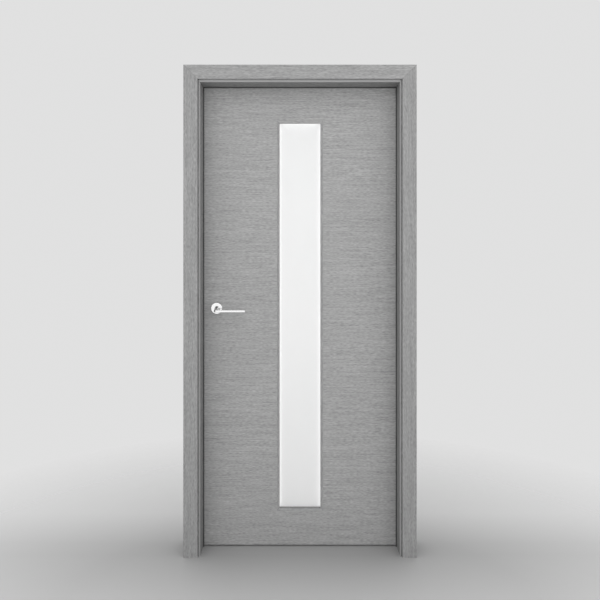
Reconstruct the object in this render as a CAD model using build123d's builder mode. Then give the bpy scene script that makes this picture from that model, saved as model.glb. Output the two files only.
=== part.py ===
from build123d import *
import os

# Glazed interior door: a flush veneered leaf with one tall frosted pane, hung in a mitred frame.
# Millimetres. Seen from the stop side, +X is right, +Y is away and +Z is up.
# The origin is at floor level, in the middle of the hinge jamb's flat outer face.

# Leaf
leaf_width = 900.0
leaf_height = 2100.0
leaf_thickness = 40.0
face_thickness = 3.0
stile_width = 36.0
rail_width = 60.0
floor_gap = 7.0
leaf_arris = 1.0

# Pane, measured as the sight size between the beads
sight_width = 187.0
sight_bottom_margin = 167.0
sight_top_margin = 171.0
bead_width = 12.0
bead_arris = 1.0
glass_thickness = 6.0
glass_edge_clearance = 2.0

# Jambs and casings
jamb_depth = 125.0
jamb_thickness = 40.0
stop_overlap = 8.0
leaf_gap = 6.5
seal_gap = 5.0
casing_width = 62.0
casing_thickness = 12.0
casing_setback = 10.0
arris_radius = 1.5

# Seal round the stop
seal_lip = 4.5
seal_reach = 7.0
seal_clearance = 0.4
seal_nose_radius = 1.5
seal_foot_offset = 4.0
seal_foot_width = 3.0
seal_foot_depth = 6.0

# Butt hinges
top_hinge_drop = 200.0
bottom_hinge_rise = 250.0
hinge_height = 100.0
hinge_plate_width = 30.0
hinge_plate_thickness = 2.5
hinge_plate_corner = 6.0
hinge_screw_rows = 68.0
hinge_screw_columns = 12.0
knuckle_radius = 7.0
knuckle_stand_off = 0.5
knuckle_gap = 0.5
pin_radius = 3.0
pin_clearance = 0.1
pin_head_radius = 5.5
pin_head_height = 4.0
pin_head_round = 2.0
pocket_clearance = 0.2
screw_radius = 2.2
screw_head_radius = 4.2
screw_sink_angle = 90.0

# Latch and strike
latch_plate_width = 20.0
latch_plate_height = 190.0
latch_plate_thickness = 3.0
latch_screw_rows = 164.0
bolt_width = 12.0
bolt_height = 22.0
bolt_length = 26.0
bolt_bevel = 9.0
bolt_clearance = 0.3
strike_width = 24.0
strike_height = 130.0
strike_thickness = 2.0
strike_corner = 6.0
strike_screw_rows = 100.0
strike_hole_margin = 1.5
strike_pocket_depth = 14.0

# Lever handle
lever_height = 1082.5
backset = 70.0
rose_diameter = 52.0
rose_thickness = 9.0
rose_edge_radius = 1.5
collar_diameter = 20.0
collar_stand = 1.0
collar_clearance = 0.4
neck_width = 19.0
bar_height = 10.5
bar_depth = 13.0
bar_reach = 56.0
bar_drop = 8.0
bar_length = 134.0
bar_round = 1.5
bar_tip_radius = 1.2
bend_inner_radius = 2.5
spindle_size = 8.0
spindle_bore = 20.0
spindle_engagement = 15.0

# Places that follow from the sizes
core_thickness = leaf_thickness - 2 * face_thickness
sight_height = leaf_height - sight_bottom_margin - sight_top_margin
bead_depth = (leaf_thickness - glass_thickness) / 2
clear_width = leaf_width - 2 * stop_overlap
clear_height = floor_gap + leaf_height - stop_overlap
rebate_width = stop_overlap + leaf_gap
middle_x = -(clear_width / 2 + jamb_thickness)
jamb_front = -jamb_depth / 2
jamb_back = jamb_depth / 2
leaf_back = jamb_back
leaf_front = leaf_back - leaf_thickness
leaf_middle = (leaf_front + leaf_back) / 2
stop_face = leaf_front - seal_gap
leaf_top = floor_gap + leaf_height
hinge_edge = middle_x + leaf_width / 2
lock_edge = middle_x - leaf_width / 2
hinge_rebate = middle_x + clear_width / 2 + rebate_width
latch_rebate = middle_x - clear_width / 2 - rebate_width
pin_x = (hinge_edge + hinge_rebate) / 2
knuckle_offset = knuckle_radius + knuckle_stand_off
pin_y = leaf_back + knuckle_offset
top_hinge = leaf_top - top_hinge_drop
bottom_hinge = floor_gap + bottom_hinge_rise
hinge_places = {
    "top": top_hinge,
    "middle": (top_hinge + bottom_hinge) / 2,
    "bottom": bottom_hinge,
}
knuckle_height = (hinge_height - 2 * knuckle_gap) / 3
spindle_x = lock_edge + backset
spindle_z = floor_gap + lever_height
bar_y = leaf_front - bar_reach
bar_z = spindle_z - bar_drop
bend_radius = bend_inner_radius + bar_depth / 2

# Planes that the frame's members start on and are mitred by
casing_reach = rebate_width + casing_setback + casing_width
leg_length = clear_height + casing_reach
head_length = clear_width + 2 * casing_reach
hinge_corner = (middle_x + clear_width / 2, 0, clear_height)
latch_corner = (middle_x - clear_width / 2, 0, clear_height)
hinge_side = Plane((hinge_corner[0], 0, 0), x_dir=(1, 0, 0), z_dir=(0, 0, 1))
latch_side = Plane((latch_corner[0], 0, leg_length), x_dir=(-1, 0, 0), z_dir=(0, 0, -1))
head_side = Plane((middle_x + head_length / 2, 0, clear_height), x_dir=(0, 0, 1), z_dir=(-1, 0, 0))
hinge_mitre = Plane(hinge_corner, x_dir=(0, 1, 0), z_dir=(-1, 0, 1))
latch_mitre = Plane(latch_corner, x_dir=(0, 1, 0), z_dir=(1, 0, 1))
leaf_face = Plane((middle_x, leaf_front, floor_gap), x_dir=(1, 0, 0), z_dir=(0, -1, 0))
leaf_mirror = Plane((middle_x, leaf_middle, 0), x_dir=(1, 0, 0), z_dir=(0, 1, 0))
spindle_face = Plane((spindle_x, leaf_front, spindle_z), x_dir=(1, 0, 0), z_dir=(0, -1, 0))
bend_face = Plane((spindle_x, bar_y + bend_radius, bar_z), x_dir=(1, 0, 0), z_dir=(0, -1, 0))

os.makedirs("parts", exist_ok=True)


def save(piece, name):
    """Label a finished piece and write it as one node."""
    piece.part.label = name
    export_step(piece.part, f"parts/{name}.step")


def edge_plane(x, y, z):
    """A plane across the doorway: local x is +Y, local y is +Z."""
    return Plane((x, y, z), x_dir=(0, 1, 0), z_dir=(1, 0, 0))


def frame_leg(section, side, mitre):
    """An upright of the frame, from the floor to its mitre."""
    with BuildPart() as leg:
        with BuildSketch(side):
            add(section)
        extrude(amount=leg_length)
        split(bisect_by=mitre, keep=Keep.BOTTOM)
    return leg


def frame_head(section):
    """The cross piece of the frame, mitred at both ends."""
    with BuildPart() as head:
        with BuildSketch(head_side):
            add(section)
        extrude(amount=head_length)
        split(bisect_by=hinge_mitre, keep=Keep.TOP)
        split(bisect_by=latch_mitre, keep=Keep.TOP)
    return head


# Sections of the frame: local x runs outwards from the clear opening, local y is the depth
with BuildSketch() as jamb_section:
    with BuildLine():
        Polyline(
            (0, jamb_front),
            (jamb_thickness, jamb_front),
            (jamb_thickness, jamb_back),
            (rebate_width, jamb_back),
            (rebate_width, stop_face),
            (0, stop_face),
            close=True,
        )
    make_face()
    fillet(jamb_section.vertices().group_by(Axis.X)[0], radius=arris_radius)
    with Locations((seal_foot_offset, stop_face)):
        Rectangle(
            seal_foot_width,
            seal_foot_depth,
            align=(Align.CENTER, Align.MAX),
            mode=Mode.SUBTRACT,
        )

with BuildSketch() as seal_section:
    with Locations((-seal_lip, stop_face)):
        Rectangle(
            seal_lip + seal_reach,
            seal_gap - seal_clearance,
            align=(Align.MIN, Align.MIN),
        )
    fillet(seal_section.vertices().group_by(Axis.X)[0], radius=seal_nose_radius)
    with Locations((seal_foot_offset, stop_face)):
        Rectangle(seal_foot_width, seal_foot_depth, align=(Align.CENTER, Align.MAX))


def casing_section(inner_edge, seat, outward):
    """A flat casing on a jamb's edge, with its two proud arrises eased."""
    with BuildSketch() as section:
        with Locations((inner_edge + casing_width / 2, seat + outward * casing_thickness / 2)):
            Rectangle(casing_width, casing_thickness)
        by_depth = section.vertices().group_by(Axis.Y)
        proud = by_depth[-1] if outward > 0 else by_depth[0]
        fillet(proud, radius=arris_radius)
    return section.sketch


front_casing = casing_section(casing_setback, jamb_front, -1)
back_casing = casing_section(rebate_width + casing_setback, jamb_back, 1)

# The outline of a hinge plate: local x runs back from the leaf's far face, square at the knuckle
with BuildSketch() as hinge_plate_outline:
    Rectangle(hinge_plate_width, hinge_height, align=(Align.MAX, Align.CENTER))
    fillet(hinge_plate_outline.vertices().group_by(Axis.X)[0], radius=hinge_plate_corner)


def hinge_pockets(face_x, depth):
    """The room that three hinge plates take up in a face."""
    with BuildPart() as pockets:
        for z in hinge_places.values():
            with BuildSketch(edge_plane(face_x, leaf_back, z)):
                add(hinge_plate_outline.sketch)
                offset(amount=pocket_clearance)
            extrude(amount=depth)
    return pockets.part


# Jambs
with BuildPart() as hinge_jamb:
    add(frame_leg(jamb_section.sketch, hinge_side, hinge_mitre).part)
    add(hinge_pockets(hinge_rebate, hinge_plate_thickness), mode=Mode.SUBTRACT)
save(hinge_jamb, "hinge_jamb")

with BuildPart() as latch_jamb:
    add(frame_leg(jamb_section.sketch, latch_side, latch_mitre).part)
    with BuildSketch(edge_plane(latch_rebate, leaf_middle, spindle_z)):
        RectangleRounded(
            strike_width + 2 * pocket_clearance,
            strike_height + 2 * pocket_clearance,
            strike_corner + pocket_clearance,
        )
    extrude(amount=-strike_thickness, mode=Mode.SUBTRACT)
    with BuildSketch(edge_plane(latch_rebate, leaf_middle, spindle_z)):
        Rectangle(bolt_width + 2 * strike_hole_margin, bolt_height + 2 * strike_hole_margin)
    extrude(amount=-strike_pocket_depth, mode=Mode.SUBTRACT)
save(latch_jamb, "latch_jamb")

save(frame_head(jamb_section.sketch), "head_jamb")

# Casings on both faces of the wall, and the seal in the stop
for name, section in {
    "front_casing": front_casing,
    "back_casing": back_casing,
    "seal": seal_section.sketch,
}.items():
    save(frame_leg(section, hinge_side, hinge_mitre), f"hinge_side_{name}")
    save(frame_leg(section, latch_side, latch_mitre), f"latch_side_{name}")
    save(frame_head(section), f"head_{name}")

# Strike plate, let into the latch jamb's rebate
with BuildPart() as strike_plate:
    with BuildSketch(edge_plane(latch_rebate, leaf_middle, spindle_z)):
        RectangleRounded(strike_width, strike_height, strike_corner)
        Rectangle(
            bolt_width + 2 * strike_hole_margin,
            bolt_height + 2 * strike_hole_margin,
            mode=Mode.SUBTRACT,
        )
    extrude(amount=-strike_thickness)
    with Locations(edge_plane(latch_rebate, leaf_middle, spindle_z)):
        with GridLocations(0, strike_screw_rows, 1, 2):
            CounterSinkHole(screw_radius, screw_head_radius, counter_sink_angle=screw_sink_angle)
save(strike_plate, "strike_plate")


def hinge_plate(face_x, into, z, knuckle_levels):
    """A plate let into a face, carrying its share of the knuckles round the pin."""
    with BuildPart() as plate:
        with BuildSketch(edge_plane(face_x, leaf_back, z)):
            add(hinge_plate_outline.sketch)
            for level in knuckle_levels:
                with Locations((0, level)):
                    Rectangle(knuckle_offset, knuckle_height, align=(Align.MIN, Align.CENTER))
        extrude(amount=into * hinge_plate_thickness)
        for level in knuckle_levels:
            with BuildSketch(Plane.XY.offset(z + level - knuckle_height / 2)):
                with Locations((pin_x, pin_y)):
                    Circle(knuckle_radius)
            extrude(amount=knuckle_height)
        with BuildSketch(Plane.XY.offset(z - hinge_height / 2)):
            with Locations((pin_x, pin_y)):
                Circle(pin_radius + pin_clearance)
        extrude(amount=hinge_height, mode=Mode.SUBTRACT)
        screw_face = Plane(
            (face_x, leaf_back - hinge_plate_width / 2, z), x_dir=(0, 1, 0), z_dir=(-into, 0, 0)
        )
        with Locations(screw_face):
            with GridLocations(hinge_screw_columns, hinge_screw_rows, 2, 2):
                CounterSinkHole(
                    screw_radius,
                    screw_head_radius,
                    depth=hinge_plate_thickness,
                    counter_sink_angle=screw_sink_angle,
                )
    return plate


def hinge_pin(z):
    """A pin with a rounded button at each end, turned as one piece."""
    shoulder = hinge_height / 2
    with BuildPart() as pin:
        with BuildSketch(Plane((pin_x, pin_y, z), x_dir=(1, 0, 0), z_dir=(0, -1, 0))):
            Rectangle(pin_radius, hinge_height, align=(Align.MIN, Align.CENTER))
            for end in (-1, 1):
                with Locations((0, end * (shoulder + pin_head_height / 2))):
                    Rectangle(pin_head_radius, pin_head_height, align=(Align.MIN, Align.CENTER))
        revolve(axis=Axis((pin_x, pin_y, z), (0, 0, 1)))
        rims = pin.edges().filter_by(GeomType.CIRCLE).group_by(Axis.Z)
        fillet(rims[0] + rims[-1], radius=pin_head_round)
    return pin


outer_knuckles = (-(knuckle_height + knuckle_gap), knuckle_height + knuckle_gap)
middle_knuckle = (0.0,)
for place, z in hinge_places.items():
    save(hinge_plate(hinge_rebate, 1, z, outer_knuckles), f"{place}_hinge_frame_plate")
    save(hinge_plate(hinge_edge, -1, z, middle_knuckle), f"{place}_hinge_leaf_plate")
    save(hinge_pin(z), f"{place}_hinge_pin")


# Leaf, in layers measured back from its stop-side face
def cut_leaf_openings():
    """The hole that takes the beads and pane, and the bore for the spindle."""
    with Locations((0, sight_bottom_margin - bead_width)):
        Rectangle(
            sight_width + 2 * bead_width,
            sight_height + 2 * bead_width,
            align=(Align.CENTER, Align.MIN),
            mode=Mode.SUBTRACT,
        )
    with Locations((spindle_x - middle_x, lever_height)):
        Circle(spindle_bore / 2, mode=Mode.SUBTRACT)


with BuildPart() as front_face_board:
    with BuildSketch(leaf_face):
        Rectangle(leaf_width, leaf_height, align=(Align.CENTER, Align.MIN))
        cut_leaf_openings()
    extrude(amount=-face_thickness)
    fillet(front_face_board.faces().sort_by(Axis.Y)[0].outer_wire().edges(), radius=leaf_arris)
save(front_face_board, "front_face_board")

with BuildPart() as back_face_board:
    mirror(front_face_board.part, about=leaf_mirror)
    add(hinge_pockets(hinge_edge, -hinge_plate_thickness), mode=Mode.SUBTRACT)
save(back_face_board, "back_face_board")

with BuildPart() as leaf_core:
    with BuildSketch(leaf_face.offset(-face_thickness)):
        with Locations((0, rail_width)):
            Rectangle(
                leaf_width - 2 * stile_width,
                leaf_height - 2 * rail_width,
                align=(Align.CENTER, Align.MIN),
            )
        cut_leaf_openings()
    extrude(amount=-core_thickness)
save(leaf_core, "leaf_core")


def stile(side):
    """A full-height edge of the leaf, on side -1 for the latch or 1 for the hinges."""
    with BuildPart() as upright:
        with BuildSketch(leaf_face.offset(-face_thickness)):
            with Locations((side * (leaf_width - stile_width) / 2, 0)):
                Rectangle(stile_width, leaf_height, align=(Align.CENTER, Align.MIN))
        extrude(amount=-core_thickness)
    return upright


def rail(height):
    """A cross piece between the stiles, with its lower edge at a height on the leaf."""
    with BuildPart() as cross:
        with BuildSketch(leaf_face.offset(-face_thickness)):
            with Locations((0, height)):
                Rectangle(leaf_width - 2 * stile_width, rail_width, align=(Align.CENTER, Align.MIN))
        extrude(amount=-core_thickness)
    return cross


with BuildPart() as hinge_stile:
    add(stile(1).part)
    add(hinge_pockets(hinge_edge, -hinge_plate_thickness), mode=Mode.SUBTRACT)
save(hinge_stile, "hinge_stile")

with BuildPart() as lock_stile:
    add(stile(-1).part)
    with BuildSketch(edge_plane(lock_edge, leaf_middle, spindle_z)):
        SlotOverall(
            latch_plate_height + 2 * pocket_clearance,
            latch_plate_width + 2 * pocket_clearance,
            rotation=90,
        )
    extrude(amount=latch_plate_thickness, mode=Mode.SUBTRACT)
    with BuildSketch(edge_plane(lock_edge, leaf_middle, spindle_z)):
        Rectangle(bolt_width + 2 * bolt_clearance, bolt_height + 2 * bolt_clearance)
    extrude(amount=bolt_length, mode=Mode.SUBTRACT)
save(lock_stile, "lock_stile")

save(rail(leaf_height - rail_width), "top_rail")
save(rail(0), "bottom_rail")

# Latch in the leaf's lock edge, drawn back flush with its plate
with BuildPart() as latch_plate:
    with BuildSketch(edge_plane(lock_edge, leaf_middle, spindle_z)):
        SlotOverall(latch_plate_height, latch_plate_width, rotation=90)
        Rectangle(
            bolt_width + 2 * bolt_clearance,
            bolt_height + 2 * bolt_clearance,
            mode=Mode.SUBTRACT,
        )
    extrude(amount=latch_plate_thickness)
    latch_plate_face = Plane(
        (lock_edge, leaf_middle, spindle_z), x_dir=(0, 1, 0), z_dir=(-1, 0, 0)
    )
    with Locations(latch_plate_face):
        with GridLocations(0, latch_screw_rows, 1, 2):
            CounterSinkHole(screw_radius, screw_head_radius, counter_sink_angle=screw_sink_angle)
save(latch_plate, "latch_plate")

with BuildPart() as latch_bolt:
    with BuildSketch(Plane.XY.offset(spindle_z - bolt_height / 2)):
        with BuildLine():
            Polyline(
                (lock_edge, leaf_middle + bolt_width / 2),
                (lock_edge + bolt_length, leaf_middle + bolt_width / 2),
                (lock_edge + bolt_length, leaf_middle - bolt_width / 2),
                (lock_edge + bolt_bevel, leaf_middle - bolt_width / 2),
                close=True,
            )
        make_face()
    extrude(amount=bolt_height)
save(latch_bolt, "latch_bolt")

# Glazing: a pane between mitred beads that lie flush with the leaf's faces
sight_middle = Vector(middle_x, 0, floor_gap + sight_bottom_margin + sight_height / 2)

with BuildSketch() as bead_section:
    with Locations((0, leaf_front)):
        Rectangle(bead_width, bead_depth, align=(Align.MIN, Align.MIN))
    inner_arris = bead_section.vertices().group_by(Axis.X)[0].sort_by(Axis.Y)[0]
    fillet(inner_arris, radius=bead_arris)


def glazing_bead(outward, half_span, half_length):
    """One stop-side bead, its section facing outwards from the sight opening, mitred at both ends."""
    along = outward.cross(Vector(0, 1, 0))
    sight_line = sight_middle + outward * half_span
    overrun = half_length + bead_width
    with BuildPart() as bead:
        with BuildSketch(Plane(sight_line - along * overrun, x_dir=outward, z_dir=along)):
            add(bead_section.sketch)
        extrude(amount=2 * overrun)
        for end in (along, -along):
            corner = sight_line + end * half_length
            split(bisect_by=Plane(corner, x_dir=(0, 1, 0), z_dir=end - outward), keep=Keep.BOTTOM)
    return bead


front_beads = {
    "lock_side": glazing_bead(Vector(-1, 0, 0), sight_width / 2, sight_height / 2),
    "hinge_side": glazing_bead(Vector(1, 0, 0), sight_width / 2, sight_height / 2),
    "top": glazing_bead(Vector(0, 0, 1), sight_height / 2, sight_width / 2),
    "bottom": glazing_bead(Vector(0, 0, -1), sight_height / 2, sight_width / 2),
}
for place, front_bead in front_beads.items():
    save(front_bead, f"{place}_front_bead")
    with BuildPart() as back_bead:
        mirror(front_bead.part, about=leaf_mirror)
    save(back_bead, f"{place}_back_bead")

with BuildPart() as glass_pane:
    with BuildSketch(leaf_face.offset(-bead_depth)):
        with Locations((0, sight_bottom_margin + sight_height / 2)):
            Rectangle(
                sight_width + 2 * (bead_width - glass_edge_clearance),
                sight_height + 2 * (bead_width - glass_edge_clearance),
            )
    extrude(amount=-glass_thickness)
save(glass_pane, "glass_pane")

# Lever handle: a rose on each face, and two levers on one square spindle
with BuildPart() as front_rose:
    with BuildSketch(spindle_face):
        Circle(rose_diameter / 2)
        Circle(collar_diameter / 2 + collar_clearance, mode=Mode.SUBTRACT)
    extrude(amount=rose_thickness)
    rose_rims = front_rose.edges().filter_by(GeomType.CIRCLE).group_by(Axis.Y)[0]
    fillet(rose_rims.sort_by(SortBy.RADIUS)[-1], radius=rose_edge_radius)
save(front_rose, "front_rose")

with BuildPart() as back_rose:
    mirror(front_rose.part, about=leaf_mirror)
save(back_rose, "back_rose")

with BuildSketch() as bar_section:
    RectangleRounded(bar_depth, bar_height, min(bar_round, 0.45 * bar_depth, 0.45 * bar_height))

# Each lever leaves its collar as a neck that thins and dips, and bends into a flat bar
with BuildPart() as front_lever:
    with BuildSketch(spindle_face.offset(collar_clearance)):
        Circle(collar_diameter / 2)
    extrude(amount=rose_thickness + collar_stand - collar_clearance)
    with BuildSketch(spindle_face.offset(rose_thickness + collar_stand)):
        RectangleRounded(neck_width, neck_width, 0.49 * neck_width)
    with BuildSketch(bend_face):
        add(bar_section.sketch)
    loft(ruled=True)
    with BuildLine(Plane.XY.offset(bar_z)) as lever_line:
        bend = JernArc((spindle_x, bar_y + bend_radius), (0, -1), bend_radius, 90)
        Line(bend @ 1, (spindle_x + bar_length, bar_y))
    with BuildSketch(bend_face):
        add(bar_section.sketch)
    sweep(path=lever_line.wires()[0])
    tip_edges = front_lever.faces().sort_by(Axis.X)[-1].edges()
    fillet(tip_edges, radius=min(bar_tip_radius, 0.4 * bar_height))
    with BuildSketch(spindle_face):
        Rectangle(spindle_size, spindle_size)
    extrude(amount=spindle_engagement, mode=Mode.SUBTRACT)
save(front_lever, "front_lever")

with BuildPart() as back_lever:
    mirror(front_lever.part, about=leaf_mirror)
save(back_lever, "back_lever")

with BuildPart() as spindle:
    with BuildSketch(spindle_face.offset(spindle_engagement)):
        Rectangle(spindle_size, spindle_size)
    extrude(amount=-(leaf_thickness + 2 * spindle_engagement))
save(spindle, "spindle")
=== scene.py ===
import math

import bpy
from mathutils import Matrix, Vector


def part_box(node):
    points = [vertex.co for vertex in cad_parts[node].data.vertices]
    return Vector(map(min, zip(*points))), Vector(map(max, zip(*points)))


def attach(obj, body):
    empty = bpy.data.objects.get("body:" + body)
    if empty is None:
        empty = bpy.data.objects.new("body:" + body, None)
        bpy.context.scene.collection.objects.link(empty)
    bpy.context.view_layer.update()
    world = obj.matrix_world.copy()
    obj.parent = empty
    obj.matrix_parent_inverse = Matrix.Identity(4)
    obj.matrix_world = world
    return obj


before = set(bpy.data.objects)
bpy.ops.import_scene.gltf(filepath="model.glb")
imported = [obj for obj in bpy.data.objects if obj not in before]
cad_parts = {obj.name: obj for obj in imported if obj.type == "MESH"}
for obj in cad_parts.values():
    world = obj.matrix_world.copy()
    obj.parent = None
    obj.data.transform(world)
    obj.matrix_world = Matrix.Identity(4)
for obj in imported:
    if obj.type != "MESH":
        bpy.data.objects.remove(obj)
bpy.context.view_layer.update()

HINGES = ("top_hinge", "middle_hinge", "bottom_hinge")
QUARTER_TURN = math.radians(90)

# Sizes in metres, as the door is made
LEAF_GAP = 0.0065
HINGE_PLATE_WIDTH = 0.030
HINGE_SCREW_ROWS = 0.068
HINGE_SCREW_COLUMNS = 0.012
LATCH_SCREW_ROWS = 0.164
STRIKE_SCREW_ROWS = 0.100
SCREW_HEAD_RADIUS = 0.0040
SCREW_SHANK_RADIUS = 0.0021
SCREW_HEAD_DEPTH = 0.0018
SCREW_RECESS_WIDTH = 0.0008
SCREW_RECESS_LENGTH = 0.0044
SCREW_RECESS_DEPTH = 0.0011
SCREW_SINK = 0.00015
MITRE_HAIRLINE = 0.0003
MITRE_SOFT_EDGE = 0.0010
# Widths of the painted highlight along the lining's front arris, on the legs and on the head
LEG_HIGHLIGHT = 0.0038
HEAD_HIGHLIGHT = 0.0085
# How deep into the leaf the painted shade on the sill bead starts, and where it is full
SILL_SHADE_START = 0.00075
SILL_SHADE_FULL = 0.0015
# How far in from the pane's side and top edges the painted glow reaches
GLASS_PAINTED_GLOW_REACH = 0.008

# Places read from the CAD nodes
middle_x = (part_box("head_front_casing")[0].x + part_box("head_front_casing")[1].x) / 2
sight_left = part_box("lock_side_front_bead")[1].x
sight_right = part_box("hinge_side_front_bead")[0].x
sight_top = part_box("top_front_bead")[0].z
mitre_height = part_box("head_jamb")[1].z - (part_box("head_jamb")[1].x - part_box("head_jamb")[0].x) / 2
clear_half_width = (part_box("hinge_jamb")[0].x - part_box("latch_jamb")[1].x) / 2
clear_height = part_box("head_jamb")[0].z
lining_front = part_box("head_jamb")[0].y
leaf_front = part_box("front_face_board")[0].y
leaf_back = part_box("back_face_board")[1].y
leaf_hinge_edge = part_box("hinge_stile")[1].x
leaf_lock_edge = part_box("lock_stile")[0].x


# Small helpers for building node trees

# Nearly all of a noise lies between the low and the high
NOISE_LOW, NOISE_MIDDLE, NOISE_HIGH = 0.3, 0.5, 0.7


def place(tree, kind, feeds=None, **settings):
    """A new node with its settings, its plain values and its links."""
    made = tree.nodes.new(kind)
    for name, value in settings.items():
        setattr(made, name, value)
    for key, value in (feeds or {}).items():
        if isinstance(value, bpy.types.NodeSocket):
            tree.links.new(value, made.inputs[key])
        else:
            made.inputs[key].default_value = value
    return made


def calculate(tree, operation, first, second=0.0, clamp=False):
    """One step of arithmetic on a value or two."""
    made = place(tree, "ShaderNodeMath", {0: first, 1: second}, operation=operation, use_clamp=clamp)
    return made.outputs[0]


def scaled(tree, value, amount):
    """A value times an amount."""
    return calculate(tree, "MULTIPLY", value, amount)


def distance(tree, value, middle):
    """How far a value lies from a middle, to either side."""
    return calculate(tree, "ABSOLUTE", calculate(tree, "SUBTRACT", value, middle))


def axes_of(tree, spot):
    """The X, Y and Z of a place or a direction."""
    return place(tree, "ShaderNodeSeparateXYZ", {0: spot}).outputs


def spread(tree, value, low, high, to_low=0.0, to_high=1.0):
    """The value's range from low to high, carried to another range."""
    feeds = {"Value": value, "From Min": low, "From Max": high, "To Min": to_low, "To Max": to_high}
    return place(tree, "ShaderNodeMapRange", feeds, clamp=True).outputs["Result"]


def between(tree, factor, low, high):
    """A colour between two colours."""
    made = place(tree, "ShaderNodeMix", {0: factor, 6: low, 7: high}, data_type="RGBA")
    return made.outputs[2]


def stretched_noise(tree, vector, pitch, detail, roughness=0.5):
    """Noise with its own pitch, in turns a metre, along each axis."""
    turns = place(tree, "ShaderNodeVectorMath", {0: vector, 1: pitch}, operation="MULTIPLY").outputs[0]
    feeds = {"Vector": turns, "Scale": 1.0, "Detail": detail, "Roughness": roughness, "Distortion": 0.0}
    return place(tree, "ShaderNodeTexNoise", feeds).outputs[0]


def new_group(name, takes, gives, group_kind="ShaderNodeTree", output_kind="NodeSocketFloat"):
    """A node group with its inputs (label, kind, value) and its outputs, all of one kind."""
    group = bpy.data.node_groups.new(name, group_kind)
    for label, kind, value in takes:
        socket = group.interface.new_socket(label, in_out="INPUT", socket_type=kind)
        if value is not None:
            socket.default_value = value
    for label in gives:
        group.interface.new_socket(label, in_out="OUTPUT", socket_type=output_kind)
    return group, group.nodes.new("NodeGroupInput").outputs, group.nodes.new("NodeGroupOutput").inputs


def use_group(tree, group, feeds):
    """A shared effect placed in a material, with its own values."""
    return place(tree, "ShaderNodeGroup", feeds, node_tree=group).outputs


# Effects that several finishes share

# Pitches in turns a metre, along the grain and twice across it
WANDER_PITCH = (4.0, 7.0, 7.0)
BAND_PITCH = (3.0, 60.0, 60.0)
STREAK_PITCH = (9.0, 340.0, 340.0)
FLECK_PITCH = (65.0, 350.0, 350.0)
FIBRE_PITCH = (60.0, 1300.0, 1300.0)
PORE_PITCH = (90.0, 1700.0, 1700.0)
WANDER = 0.001
BAND_AMOUNT = 0.3
STREAK_AMOUNT = 0.9
FLECK_AMOUNT = 1.3
FIBRE_AMOUNT = 0.9
PORE_START, PORE_FULL = 0.60, 0.72
PORE_DEPTH = 0.8

FINE_LINE_PITCH = (30.0, 5200.0, 5200.0)
COARSE_LINE_PITCH = (12.0, 900.0, 900.0)
FINE_LINE_SHARE, COARSE_LINE_SHARE = 0.65, 0.35
FINE_LINE_ROUGHNESS = 0.6

MARK_DETAIL = 4.0
MARK_ROUGHNESS = 0.55
MARK_START, MARK_FULL = 0.35, 0.68
SPECK_PITCH = (900.0, 900.0, 900.0)


def make_veneer_figure():
    """Straight veneer figure running along the first axis of its vector."""
    group, given, out = new_group(
        "veneer_figure",
        [("Vector", "NodeSocketVector", None),
         ("Bands", "NodeSocketFloat", BAND_AMOUNT),
         ("Streaks", "NodeSocketFloat", STREAK_AMOUNT),
         ("Flecks", "NodeSocketFloat", FLECK_AMOUNT),
         ("Fibres", "NodeSocketFloat", FIBRE_AMOUNT)],
        ["Tone", "Pores", "Height"],
    )
    wander = stretched_noise(group, given["Vector"], WANDER_PITCH, detail=1.0)
    aside = spread(group, wander, NOISE_LOW, NOISE_HIGH, -WANDER, WANDER)
    bend = place(group, "ShaderNodeCombineXYZ", {"Y": aside, "Z": aside}).outputs[0]
    vector = place(group, "ShaderNodeVectorMath", {0: given["Vector"], 1: bend}, operation="ADD").outputs[0]
    bands = stretched_noise(group, vector, BAND_PITCH, detail=2.0)
    streaks = stretched_noise(group, vector, STREAK_PITCH, detail=0.5)
    flecks = stretched_noise(group, vector, FLECK_PITCH, detail=0.5)
    fibres = stretched_noise(group, vector, FIBRE_PITCH, detail=2.0)
    pores = stretched_noise(group, vector, PORE_PITCH, detail=1.0)
    tone = NOISE_MIDDLE
    for amount, noise in (("Bands", bands), ("Streaks", streaks), ("Flecks", flecks), ("Fibres", fibres)):
        lift = scaled(group, calculate(group, "SUBTRACT", noise, NOISE_MIDDLE), given[amount])
        tone = calculate(group, "ADD", lift, tone)
    pore_mask = spread(group, pores, PORE_START, PORE_FULL)
    height = calculate(group, "SUBTRACT", fibres, scaled(group, pore_mask, PORE_DEPTH))
    group.links.new(calculate(group, "ADD", tone, clamp=True), out["Tone"])
    group.links.new(pore_mask, out["Pores"])
    group.links.new(height, out["Height"])
    return group


def make_brushed_lines():
    """Fine lines left by brushing, along the first axis of the vector."""
    group, given, out = new_group(
        "brushed_lines",
        [("Vector", "NodeSocketVector", None)],
        ["Line", "Height"],
    )
    fine = stretched_noise(
        group, given["Vector"], FINE_LINE_PITCH, detail=2.0, roughness=FINE_LINE_ROUGHNESS)
    coarse = stretched_noise(group, given["Vector"], COARSE_LINE_PITCH, detail=1.0)
    mixed = calculate(group, "ADD", scaled(group, fine, FINE_LINE_SHARE),
                      scaled(group, coarse, COARSE_LINE_SHARE))
    group.links.new(spread(group, mixed, NOISE_LOW, NOISE_HIGH), out["Line"])
    group.links.new(fine, out["Height"])
    return group


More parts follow.
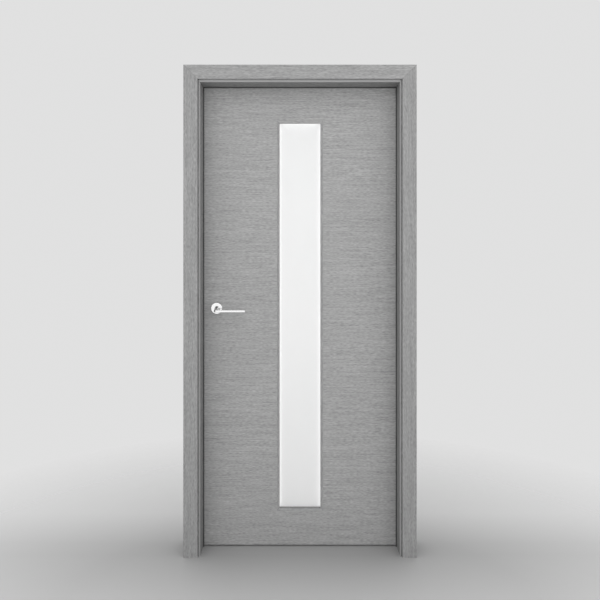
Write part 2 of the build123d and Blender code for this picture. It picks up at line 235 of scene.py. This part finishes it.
def make_handling():
    """Soft clouds of handling and dust: 0 is clean, 1 is marked."""
    group, given, out = new_group(
        "handling",
        [("Vector", "NodeSocketVector", None), ("Patch", "NodeSocketFloat", None)],
        ["Marks", "Specks"],
    )
    feeds = {"Vector": given["Vector"], "Scale": given["Patch"],
             "Detail": MARK_DETAIL, "Roughness": MARK_ROUGHNESS}
    clouds = place(group, "ShaderNodeTexNoise", feeds).outputs[0]
    specks = stretched_noise(group, given["Vector"], SPECK_PITCH, detail=2.0)
    group.links.new(spread(group, clouds, MARK_START, MARK_FULL), out["Marks"])
    group.links.new(spread(group, specks, NOISE_LOW, NOISE_HIGH), out["Specks"])
    return group


VENEER_FIGURE = make_veneer_figure()
BRUSHED_LINES = make_brushed_lines()
HANDLING = make_handling()


# Finishes

GRAIN_TURN = {"x": (0.0, 0.0, 0.0), "z": (0.0, QUARTER_TURN, 0.0)}
NO_OFFSET = (0.0, 0.0, 0.0)

# Clouds of handling marks to the metre
VENEER_PATCH = 3.0
METAL_PATCH = 18.0
SCREW_PATCH = 120.0
GLASS_PATCH = 2.5
SEAL_PATCH = 9.0
CORE_PATCH = 30.0

# Veneer: how strongly each effect shows, and its tone as a part of the dark or the light stain
PORE_STRENGTH, PORE_TONE = 0.35, 0.45
VENEER_MARK_STRENGTH, VENEER_MARK_TONE = 0.07, 0.9
JOINT_STRENGTH, JOINT_TONE = 0.6, 0.3
# Painted highlight on the lining's front arris: the share of its width where it is full, and its tone
HIGHLIGHT_FULL_SHARE, ARRIS_HIGHLIGHT_TONE = 0.7, 1.25
# Tone of the painted shade on the sill bead's upper face
SILL_SHADE_TONE = 0.85
DARK_GRAIN, LIGHT_GRAIN = 0.2, 0.8
DARK_GRAIN_ROUGHNESS, LIGHT_GRAIN_ROUGHNESS = 0.56, 0.48
VENEER_MARK_ROUGHNESS = 0.06
VENEER_RELIEF, VENEER_RELIEF_DEPTH = 0.35, 0.0004
LACQUER_GLOSS = 0.18

METAL_MARK_STRENGTH, METAL_MARK_TONE = 0.12, 0.8
METAL_LINE_SHARE, METAL_MARK_SHARE = 0.5, 0.5
METAL_RELIEF, METAL_RELIEF_DEPTH = 0.08, 0.00005

CLEAN_GLASS, MARKED_GLASS = (0.985, 0.985, 0.985, 1.0), (0.965, 0.97, 0.97, 1.0)
GLASS_SMOOTH, GLASS_ROUGH = 0.52, 0.66
GLASS_RELIEF, GLASS_RELIEF_DEPTH = 0.10, 0.00005
GLASS_CLEARNESS = 0.25
GLASS_IOR = 1.45
# Painted glow of the pane: its emission in the middle and at the rim
GLASS_PAINTED_GLOW_MIDDLE, GLASS_PAINTED_GLOW_RIM = 0.03, 0.39

SEAL_DARK, SEAL_LIGHT = 0.055, 0.085
SEAL_SMOOTH, SEAL_ROUGH = 0.62, 0.78
SEAL_RELIEF, SEAL_RELIEF_DEPTH = 0.15, 0.0001

CHIPS_TO_THE_METRE = 240.0
CHIP_DARK, CHIP_LIGHT = (0.36, 0.27, 0.18, 1.0), (0.56, 0.45, 0.32, 1.0)
CHIP_MARK, CHIP_MARK_STRENGTH = (0.30, 0.22, 0.14, 1.0), 0.3
CHIP_SMOOTH, CHIP_ROUGH = 0.75, 0.9
CHIP_RELIEF, CHIP_RELIEF_DEPTH = 0.3, 0.0004


def grey(level):
    return (level, level, level, 1.0)


def new_finish(name):
    """A bare material, with its shader and the place on the piece."""
    finish = bpy.data.materials.new(name)
    finish.use_nodes = True
    tree = finish.node_tree
    tree.nodes.clear()
    shader = tree.nodes.new("ShaderNodeBsdfPrincipled")
    output = tree.nodes.new("ShaderNodeOutputMaterial")
    tree.links.new(shader.outputs[0], output.inputs["Surface"])
    spot = tree.nodes.new("ShaderNodeTexCoord").outputs["Object"]
    return finish, tree, shader, spot


def turned(tree, vector, grain, offset):
    """The place turned so that its first axis follows the grain."""
    feeds = {"Vector": vector, "Location": offset, "Rotation": GRAIN_TURN[grain]}
    return place(tree, "ShaderNodeMapping", feeds).outputs[0]


def bumped(tree, shader, height, strength, depth):
    """Fine relief on a surface, with its depth in metres."""
    feeds = {"Height": height, "Strength": strength, "Distance": depth}
    tree.links.new(place(tree, "ShaderNodeBump", feeds).outputs[0], shader.inputs["Normal"])


def mitre_line(tree, spot):
    """The hairline where a frame leg and a frame head meet at 45 degrees."""
    axes = axes_of(tree, spot)
    aside = distance(tree, axes["X"], middle_x)
    off = distance(tree, calculate(tree, "SUBTRACT", axes["Z"], mitre_height), aside)
    return spread(tree, off, MITRE_HAIRLINE, MITRE_SOFT_EDGE, 1.0, 0.0)


def painted_arris_highlight(tree, spot, width):
    """A painted highlight along the lining's front arris round the opening, paler over a narrow width."""
    axes = axes_of(tree, spot)
    aside = distance(tree, axes["X"], middle_x)
    outside = calculate(tree, "MAXIMUM", calculate(tree, "SUBTRACT", aside, clear_half_width),
                        calculate(tree, "SUBTRACT", axes["Z"], clear_height))
    deep = calculate(tree, "SUBTRACT", axes["Y"], lining_front)
    off = calculate(tree, "MAXIMUM", outside, deep)
    return spread(tree, off, width * HIGHLIGHT_FULL_SHARE, width, 1.0, 0.0)


def painted_sill_shade(tree, spot):
    """The bead's upper face between glass and leaf face, darkened with painted shade in the pane's recess.
    """
    depth = axes_of(tree, spot)["Y"]
    inset = calculate(tree, "MINIMUM", calculate(tree, "SUBTRACT", depth, leaf_front),
                      calculate(tree, "SUBTRACT", leaf_back, depth))
    return spread(tree, inset, SILL_SHADE_START, SILL_SHADE_FULL)


def veneer_finish(name, grain, offset, dark, light, mitred=False, highlight=0.0, sill=False):
    """Grey stained veneer under a matt lacquer."""
    finish, tree, shader, spot = new_finish(name)
    figure = use_group(tree, VENEER_FIGURE, {"Vector": turned(tree, spot, grain, offset)})
    marks = use_group(tree, HANDLING, {"Vector": spot, "Patch": VENEER_PATCH})["Marks"]
    colour = between(tree, figure["Tone"], grey(dark), grey(light))
    colour = between(tree, scaled(tree, figure["Pores"], PORE_STRENGTH), colour, grey(dark * PORE_TONE))
    colour = between(tree, scaled(tree, marks, VENEER_MARK_STRENGTH), colour, grey(dark * VENEER_MARK_TONE))
    height = figure["Height"]
    if mitred:
        joint = mitre_line(tree, spot)
        colour = between(tree, scaled(tree, joint, JOINT_STRENGTH), colour, grey(dark * JOINT_TONE))
        height = calculate(tree, "SUBTRACT", height, joint)
    # Painted highlight along the lining's front arris
    if highlight:
        colour = between(tree, painted_arris_highlight(tree, spot, highlight), colour, grey(light * ARRIS_HIGHLIGHT_TONE))
    # Painted shade on the sill bead's upper face, in the pane's recess
    if sill:
        colour = between(tree, painted_sill_shade(tree, spot), colour, grey(dark * SILL_SHADE_TONE))
    tree.links.new(colour, shader.inputs["Base Color"])
    grain_roughness = spread(tree, figure["Tone"], DARK_GRAIN, LIGHT_GRAIN,
                             DARK_GRAIN_ROUGHNESS, LIGHT_GRAIN_ROUGHNESS)
    rough = calculate(tree, "ADD", grain_roughness, scaled(tree, marks, VENEER_MARK_ROUGHNESS))
    tree.links.new(rough, shader.inputs["Roughness"])
    bumped(tree, shader, height, VENEER_RELIEF, VENEER_RELIEF_DEPTH)
    shader.inputs["Specular IOR Level"].default_value = LACQUER_GLOSS
    return finish


def metal_finish(name, brushing, dark, light, smooth, rough, patch=METAL_PATCH, relief=METAL_RELIEF):
    """Metal with fine lines and faint handling marks."""
    finish, tree, shader, spot = new_finish(name)
    lines = use_group(tree, BRUSHED_LINES, {"Vector": turned(tree, spot, brushing, NO_OFFSET)})
    marks = use_group(tree, HANDLING, {"Vector": spot, "Patch": patch})["Marks"]
    colour = between(tree, lines["Line"], grey(dark), grey(light))
    colour = between(tree, scaled(tree, marks, METAL_MARK_STRENGTH), colour, grey(dark * METAL_MARK_TONE))
    tree.links.new(colour, shader.inputs["Base Color"])
    mixed = calculate(tree, "ADD", scaled(tree, lines["Line"], METAL_LINE_SHARE),
                      scaled(tree, marks, METAL_MARK_SHARE))
    tree.links.new(spread(tree, mixed, 0.0, 1.0, smooth, rough), shader.inputs["Roughness"])
    bumped(tree, shader, lines["Height"], relief, METAL_RELIEF_DEPTH)
    shader.inputs["Metallic"].default_value = 1.0
    return finish


def frosted_finish():
    """Acid-etched white glass that shows no picture, with a painted glow at its side and top edges."""
    finish, tree, shader, spot = new_finish("frosted_glass")
    marks = use_group(tree, HANDLING, {"Vector": spot, "Patch": GLASS_PATCH})
    colour = between(tree, marks["Marks"], CLEAN_GLASS, MARKED_GLASS)
    tree.links.new(colour, shader.inputs["Base Color"])
    rough = spread(tree, marks["Specks"], 0.0, 1.0, GLASS_SMOOTH, GLASS_ROUGH)
    tree.links.new(rough, shader.inputs["Roughness"])
    bumped(tree, shader, marks["Specks"], GLASS_RELIEF, GLASS_RELIEF_DEPTH)
    shader.inputs["Transmission Weight"].default_value = GLASS_CLEARNESS
    shader.inputs["IOR"].default_value = GLASS_IOR
    # Painted glow: emission, faint all over and strongest at the pane's side and top edges
    axes = axes_of(tree, spot)
    off = distance(tree, axes["X"], (sight_left + sight_right) / 2)
    inset = calculate(tree, "SUBTRACT", (sight_right - sight_left) / 2, off)
    inset = calculate(tree, "MINIMUM", inset, calculate(tree, "SUBTRACT", sight_top, axes["Z"]))
    glow_falloff = calculate(tree, "EXPONENT", scaled(tree, inset, -1.0 / GLASS_PAINTED_GLOW_REACH))
    painted_glow = between(tree, glow_falloff, grey(GLASS_PAINTED_GLOW_MIDDLE), grey(GLASS_PAINTED_GLOW_RIM))
    tree.links.new(painted_glow, shader.inputs["Emission Color"])
    shader.inputs["Emission Strength"].default_value = 1.0
    return finish


def seal_finish():
    """Matt dark seal with the faint lines of drawing it through a die."""
    finish, tree, shader, spot = new_finish("seal")
    lines = use_group(tree, BRUSHED_LINES, {"Vector": turned(tree, spot, "z", NO_OFFSET)})
    marks = use_group(tree, HANDLING, {"Vector": spot, "Patch": SEAL_PATCH})
    colour = between(tree, marks["Marks"], grey(SEAL_DARK), grey(SEAL_LIGHT))
    tree.links.new(colour, shader.inputs["Base Color"])
    rough = spread(tree, marks["Specks"], 0.0, 1.0, SEAL_SMOOTH, SEAL_ROUGH)
    tree.links.new(rough, shader.inputs["Roughness"])
    bumped(tree, shader, lines["Height"], SEAL_RELIEF, SEAL_RELIEF_DEPTH)
    return finish


def core_finish():
    """Raw chip board inside the leaf."""
    finish, tree, shader, spot = new_finish("leaf_core")
    chips = place(tree, "ShaderNodeTexVoronoi", {"Vector": spot, "Scale": CHIPS_TO_THE_METRE})
    flake = place(tree, "ShaderNodeSeparateColor", {0: chips.outputs["Color"]}).outputs[0]
    marks = use_group(tree, HANDLING, {"Vector": spot, "Patch": CORE_PATCH})
    colour = between(tree, flake, CHIP_DARK, CHIP_LIGHT)
    colour = between(tree, scaled(tree, marks["Marks"], CHIP_MARK_STRENGTH), colour, CHIP_MARK)
    tree.links.new(colour, shader.inputs["Base Color"])
    rough = spread(tree, marks["Specks"], 0.0, 1.0, CHIP_SMOOTH, CHIP_ROUGH)
    tree.links.new(rough, shader.inputs["Roughness"])
    bumped(tree, shader, flake, CHIP_RELIEF, CHIP_RELIEF_DEPTH)
    return finish


LEG_VENEER = veneer_finish(
    "casing_leg_veneer", "z", offset=(0.3, 0.1, 0.7), dark=0.240, light=0.436, mitred=True)
HEAD_VENEER = veneer_finish(
    "casing_head_veneer", "x", offset=(0.9, 0.4, 0.2), dark=0.258, light=0.466, mitred=True)
# The linings carry a painted highlight along their front arris
JAMB_VENEER = veneer_finish(
    "jamb_veneer", "z", offset=(0.5, 0.7, 0.4), dark=0.178, light=0.320, mitred=True, highlight=LEG_HIGHLIGHT)
HEAD_JAMB_VENEER = veneer_finish(
    "head_jamb_veneer", "x", offset=(0.8, 0.1, 0.3), dark=0.190, light=0.342, mitred=True, highlight=HEAD_HIGHLIGHT)
LEAF_VENEER = veneer_finish("leaf_veneer", "x", offset=(0.1, 0.6, 0.5), dark=0.286, light=0.510)
STILE_LIPPING = veneer_finish("stile_lipping", "z", offset=(0.6, 0.2, 0.1), dark=0.225, light=0.405)
RAIL_LIPPING = veneer_finish("rail_lipping", "x", offset=(0.4, 0.8, 0.3), dark=0.225, light=0.405)
SIDE_BEAD_VENEER = veneer_finish("side_bead_veneer", "z", offset=(0.7, 0.5, 0.9), dark=0.244, light=0.432)
CROSS_BEAD_VENEER = veneer_finish("cross_bead_veneer", "x", offset=(0.2, 0.3, 0.6), dark=0.286, light=0.508)
# The bottom beads carry painted shade on their upper face
SILL_BEAD_VENEER = veneer_finish(
    "sill_bead_veneer", "x", offset=(0.2, 0.3, 0.6), dark=0.286, light=0.508, sill=True)
FROSTED_GLASS = frosted_finish()
SATIN_CHROME = metal_finish(
    "satin_chrome", "x", dark=0.93, light=0.98, smooth=0.07, rough=0.16, relief=0.03)
HINGE_STEEL = metal_finish("hinge_steel", "z", dark=0.50, light=0.66, smooth=0.26, rough=0.42)
LATCH_STEEL = metal_finish("latch_steel", "z", dark=0.54, light=0.70, smooth=0.24, rough=0.40)
SCREW_STEEL = metal_finish(
    "screw_steel", "x", dark=0.46, light=0.62, smooth=0.22, rough=0.38, patch=SCREW_PATCH)
SEAL = seal_finish()
RAW_CORE = core_finish()


def dress(names, finish):
    """Puts a finish on carried-over CAD nodes."""
    for name in names:
        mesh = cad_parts[name].data
        mesh.materials.clear()
        mesh.materials.append(finish)


for face in ("front", "back"):
    dress((f"hinge_side_{face}_casing", f"latch_side_{face}_casing"), LEG_VENEER)
    dress((f"head_{face}_casing",), HEAD_VENEER)
    dress((f"{face}_face_board",), LEAF_VENEER)
    dress((f"lock_side_{face}_bead", f"hinge_side_{face}_bead"), SIDE_BEAD_VENEER)
    dress((f"top_{face}_bead",), CROSS_BEAD_VENEER)
    dress((f"bottom_{face}_bead",), SILL_BEAD_VENEER)
    dress((f"{face}_rose", f"{face}_lever"), SATIN_CHROME)
for hinge in HINGES:
    dress((f"{hinge}_frame_plate", f"{hinge}_leaf_plate", f"{hinge}_pin"), HINGE_STEEL)
dress(("hinge_jamb", "latch_jamb"), JAMB_VENEER)
dress(("head_jamb",), HEAD_JAMB_VENEER)
dress(("hinge_stile", "lock_stile"), STILE_LIPPING)
dress(("top_rail", "bottom_rail"), RAIL_LIPPING)
dress(("glass_pane",), FROSTED_GLASS)
dress(("spindle",), SATIN_CHROME)
dress(("latch_plate", "latch_bolt", "strike_plate"), LATCH_STEEL)
dress(("hinge_side_seal", "latch_side_seal", "head_seal"), SEAL)
dress(("leaf_core",), RAW_CORE)


# Countersunk screws in the hinge, latch and strike plates

SCREW_HEAD_SIDES = 28


def make_screw_tree():
    """Cross-recessed screw heads, one on each point, facing along the point's own direction."""
    tree, given, out = new_group(
        "countersunk_screws",
        [("Geometry", "NodeSocketGeometry", None),
         ("Head Radius", "NodeSocketFloat", SCREW_HEAD_RADIUS),
         ("Shank Radius", "NodeSocketFloat", SCREW_SHANK_RADIUS),
         ("Head Depth", "NodeSocketFloat", SCREW_HEAD_DEPTH),
         ("Recess Width", "NodeSocketFloat", SCREW_RECESS_WIDTH),
         ("Recess Length", "NodeSocketFloat", SCREW_RECESS_LENGTH),
         ("Recess Depth", "NodeSocketFloat", SCREW_RECESS_DEPTH),
         ("Seed", "NodeSocketInt", None),
         ("Finish", "NodeSocketMaterial", None)],
        ["Geometry"],
        group_kind="GeometryNodeTree",
        output_kind="NodeSocketGeometry",
    )

    # A cone for the head, with a cross of two bars cut into its flat top, half in and half out
    cone = {"Vertices": SCREW_HEAD_SIDES, "Side Segments": 1, "Fill Segments": 1,
            "Radius Top": given["Head Radius"], "Radius Bottom": given["Shank Radius"],
            "Depth": given["Head Depth"]}
    head = place(tree, "GeometryNodeMeshCone", cone).outputs["Mesh"]
    bar_height = scaled(tree, given["Recess Depth"], 2.0)
    lift = place(tree, "ShaderNodeCombineXYZ", {"Z": given["Head Depth"]}).outputs[0]
    cut = place(tree, "GeometryNodeMeshBoolean", {"Mesh 1": head}, operation="DIFFERENCE", solver="EXACT")
    for long_side, short_side in (("X", "Y"), ("Y", "X")):
        sides = {long_side: given["Recess Length"], short_side: given["Recess Width"], "Z": bar_height}
        size = place(tree, "ShaderNodeCombineXYZ", sides).outputs[0]
        bar = place(tree, "GeometryNodeMeshCube", {"Size": size}).outputs["Mesh"]
        lifted = place(tree, "GeometryNodeTransform", {"Geometry": bar, "Translation": lift}).outputs[0]
        tree.links.new(lifted, cut.inputs["Mesh 2"])

    # The head's top comes to the point, which lies on the plate's face
    drop = scaled(tree, given["Head Depth"], -1.0)
    sunk = place(tree, "ShaderNodeCombineXYZ", {"Z": drop}).outputs[0]
    moved = {"Geometry": cut.outputs["Mesh"], "Translation": sunk}
    screw = place(tree, "GeometryNodeTransform", moved).outputs[0]

    # Each screw faces its own way and stops somewhere in a quarter turn
    facing = place(tree, "GeometryNodeInputNamedAttribute", {"Name": "facing"}, data_type="FLOAT_VECTOR")
    towards = {"Vector": facing.outputs[0]}
    aim = place(tree, "FunctionNodeAlignRotationToVector", towards, axis="Z").outputs[0]
    turn = place(tree, "FunctionNodeRandomValue", {"Seed": given["Seed"]}, data_type="FLOAT")
    for socket in turn.inputs:
        if socket.name == "Max" and socket.type == "VALUE":
            socket.default_value = QUARTER_TURN
    angle = next(socket for socket in turn.outputs if socket.type == "VALUE")
    about = {"Axis": (0.0, 0.0, 1.0), "Angle": angle}
    twist = place(tree, "FunctionNodeAxisAngleToRotation", about).outputs[0]
    aimed = place(tree, "FunctionNodeRotateRotation", {"Rotation": aim, "Rotate By": twist},
                  rotation_space="LOCAL").outputs[0]
    points = {"Points": given["Geometry"], "Instance": screw, "Rotation": aimed}
    set_out = place(tree, "GeometryNodeInstanceOnPoints", points).outputs[0]
    whole = place(tree, "GeometryNodeRealizeInstances", {"Geometry": set_out}).outputs[0]
    coat = {"Geometry": whole, "Material": given["Finish"]}
    tree.links.new(place(tree, "GeometryNodeSetMaterial", coat).outputs[0], out["Geometry"])
    return tree


SCREW_TREE = make_screw_tree()


def set_screws(name, spots, seed, body):
    """One mesh with a screw at each spot, a point on a plate's face and the way it faces."""
    points = bpy.data.meshes.new(name + "_points")
    points.from_pydata([tuple(point) for point, way in spots], [], [])
    facing = points.attributes.new("facing", "FLOAT_VECTOR", "POINT")
    facing.data.foreach_set("vector", [part for point, way in spots for part in way])
    holder = bpy.data.objects.new(name + "_points", points)
    bpy.context.scene.collection.objects.link(holder)
    modifier = holder.modifiers.new("screws", "NODES")
    modifier.node_group = SCREW_TREE
    sockets = SCREW_TREE.interface.items_tree
    keys = {socket.name: socket.identifier for socket in sockets if socket.in_out == "INPUT"}
    modifier[keys["Seed"]] = seed
    modifier[keys["Finish"]] = SCREW_STEEL
    bpy.context.view_layer.update()
    seen = holder.evaluated_get(bpy.context.evaluated_depsgraph_get())
    mesh = bpy.data.meshes.new_from_object(seen)
    holder.modifiers.remove(modifier)
    bpy.data.objects.remove(holder)
    screws = bpy.data.objects.new(name, mesh)
    bpy.context.scene.collection.objects.link(screws)
    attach(screws, body)


def hinge_spots(part, face_x, way):
    """The four screw places of each hinge plate."""
    spots = []
    for hinge in HINGES:
        low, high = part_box(f"{hinge}_{part}")
        middle = Vector((face_x, low.y + HINGE_PLATE_WIDTH / 2, (low.z + high.z) / 2))
        for up in (-0.5, 0.5):
            for across in (-0.5, 0.5):
                step = Vector((-way * SCREW_SINK, across * HINGE_SCREW_COLUMNS, up * HINGE_SCREW_ROWS))
                spots.append((middle + step, (way, 0.0, 0.0)))
    return spots


def plate_spots(node, face_x, way, rows):
    """The two screw places of a latch or strike plate."""
    low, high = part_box(node)
    middle = (low + high) / 2
    sunk_x = face_x - way * SCREW_SINK
    return [((sunk_x, middle.y, middle.z + up * rows), (way, 0.0, 0.0)) for up in (-0.5, 0.5)]


set_screws(
    "frame_screws",
    hinge_spots("frame_plate", leaf_hinge_edge + LEAF_GAP, -1.0)
    + plate_spots("strike_plate", leaf_lock_edge - LEAF_GAP, 1.0, STRIKE_SCREW_ROWS),
    seed=7, body="frame",
)
set_screws(
    "leaf_screws",
    hinge_spots("leaf_plate", leaf_hinge_edge, 1.0)
    + plate_spots("latch_plate", leaf_lock_edge, -1.0, LATCH_SCREW_ROWS),
    seed=11, body="leaf",
)


# Floor, light and camera

# Floor: its tones, how far from the middle of the frame's depth they hold, and where it fades
FLOOR_REACH = 9.0
FLOOR_PAINTED_SHADE, FLOOR_PALE = 0.385, 0.50
FLOOR_PAINTED_SHADE_TO, FLOOR_PALE_FROM = 0.05, 0.35
FLOOR_ROUGHNESS = 0.7
FLOOR_FADE_FORWARD = 0.7
FLOOR_FADE_START, FLOOR_FADE_END = 1.0, 2.4

# Light: the dome's strength, the background's tone, and the tones that metal mirrors
DOME_LIGHT = 1.08
BACKGROUND = 0.75
MIRRORED_SIDES, MIRRORED_TOP = 1.0, 0.12
MIRRORED_SIDES_TO, MIRRORED_TOP_FROM = 0.15, 0.55

# Camera: its sensor and lens in millimetres, its place in metres
SENSOR_WIDTH = 36.0
LENS = 33.76
LENS_SHIFT = -0.08
CAMERA_DISTANCE = 2.551
CAMERA_HEIGHT = 1.346


def make_floor():
    """A pale floor, with painted shade along the door's foot, that fades into the background."""
    mesh = bpy.data.meshes.new("floor")
    corners = [(-FLOOR_REACH, -FLOOR_REACH, 0), (FLOOR_REACH, -FLOOR_REACH, 0),
               (FLOOR_REACH, FLOOR_REACH, 0), (-FLOOR_REACH, FLOOR_REACH, 0)]
    mesh.from_pydata(corners, [], [(0, 1, 2, 3)])
    floor = bpy.data.objects.new("floor", mesh)
    bpy.context.scene.collection.objects.link(floor)
    finish, tree, shader, spot = new_finish("pale_floor")
    # Painted shade: the floor's colour is darker along the line of the door, in front of it and behind
    off = calculate(tree, "ABSOLUTE", axes_of(tree, spot)["Y"])
    paleness = spread(tree, off, FLOOR_PAINTED_SHADE_TO, FLOOR_PALE_FROM)
    colour = between(tree, paleness, grey(FLOOR_PAINTED_SHADE), grey(FLOOR_PALE))
    tree.links.new(colour, shader.inputs["Base Color"])
    shader.inputs["Roughness"].default_value = FLOOR_ROUGHNESS
    centred = {"Vector": spot, "Location": (-middle_x, FLOOR_FADE_FORWARD, 0.0)}
    under = place(tree, "ShaderNodeMapping", centred).outputs[0]
    away = place(tree, "ShaderNodeVectorMath", {0: under}, operation="LENGTH").outputs["Value"]
    fade = spread(tree, away, FLOOR_FADE_START, FLOOR_FADE_END)
    clear = tree.nodes.new("ShaderNodeBsdfTransparent")
    mix = place(tree, "ShaderNodeMixShader", {0: fade, 1: shader.outputs[0], 2: clear.outputs[0]})
    output = next(node for node in tree.nodes if node.type == "OUTPUT_MATERIAL")
    tree.links.new(mix.outputs[0], output.inputs["Surface"])
    mesh.materials.append(finish)


def make_world():
    """Even light from all round, a plain pale background, and a dim top for metal to mirror."""
    world = bpy.data.worlds.new("studio")
    bpy.context.scene.world = world
    world.use_nodes = True
    tree = world.node_tree
    tree.nodes.clear()
    light = place(tree, "ShaderNodeBackground", {"Color": grey(1.0), "Strength": DOME_LIGHT})
    seen = place(tree, "ShaderNodeBackground", {"Color": grey(BACKGROUND), "Strength": 1.0})
    way = tree.nodes.new("ShaderNodeTexCoord").outputs["Generated"]
    rise = spread(tree, axes_of(tree, way)["Z"], MIRRORED_SIDES_TO, MIRRORED_TOP_FROM)
    tone = between(tree, rise, grey(MIRRORED_SIDES), grey(MIRRORED_TOP))
    mirrored = place(tree, "ShaderNodeBackground", {"Color": tone, "Strength": 1.0})
    path = tree.nodes.new("ShaderNodeLightPath").outputs
    shown = calculate(tree, "MAXIMUM", path["Is Camera Ray"], path["Is Transmission Ray"])
    mix = place(tree, "ShaderNodeMixShader", {0: shown, 1: light.outputs[0], 2: seen.outputs[0]})
    by_kind = {0: path["Is Glossy Ray"], 1: mix.outputs[0], 2: mirrored.outputs[0]}
    mix = place(tree, "ShaderNodeMixShader", by_kind)
    output = tree.nodes.new("ShaderNodeOutputWorld")
    tree.links.new(mix.outputs[0], output.inputs["Surface"])


def make_camera():
    """A level camera straight in front of the door."""
    camera_data = bpy.data.cameras.new("camera")
    camera_data.sensor_width = SENSOR_WIDTH
    camera_data.lens = LENS
    camera_data.shift_y = LENS_SHIFT
    camera = bpy.data.objects.new("camera", camera_data)
    camera.location = (middle_x, -CAMERA_DISTANCE, CAMERA_HEIGHT)
    camera.rotation_euler = (QUARTER_TURN, 0.0, 0.0)
    bpy.context.scene.collection.objects.link(camera)
    bpy.context.scene.camera = camera


make_floor()
make_world()
make_camera()
bpy.context.scene.view_settings.view_transform = "Standard"
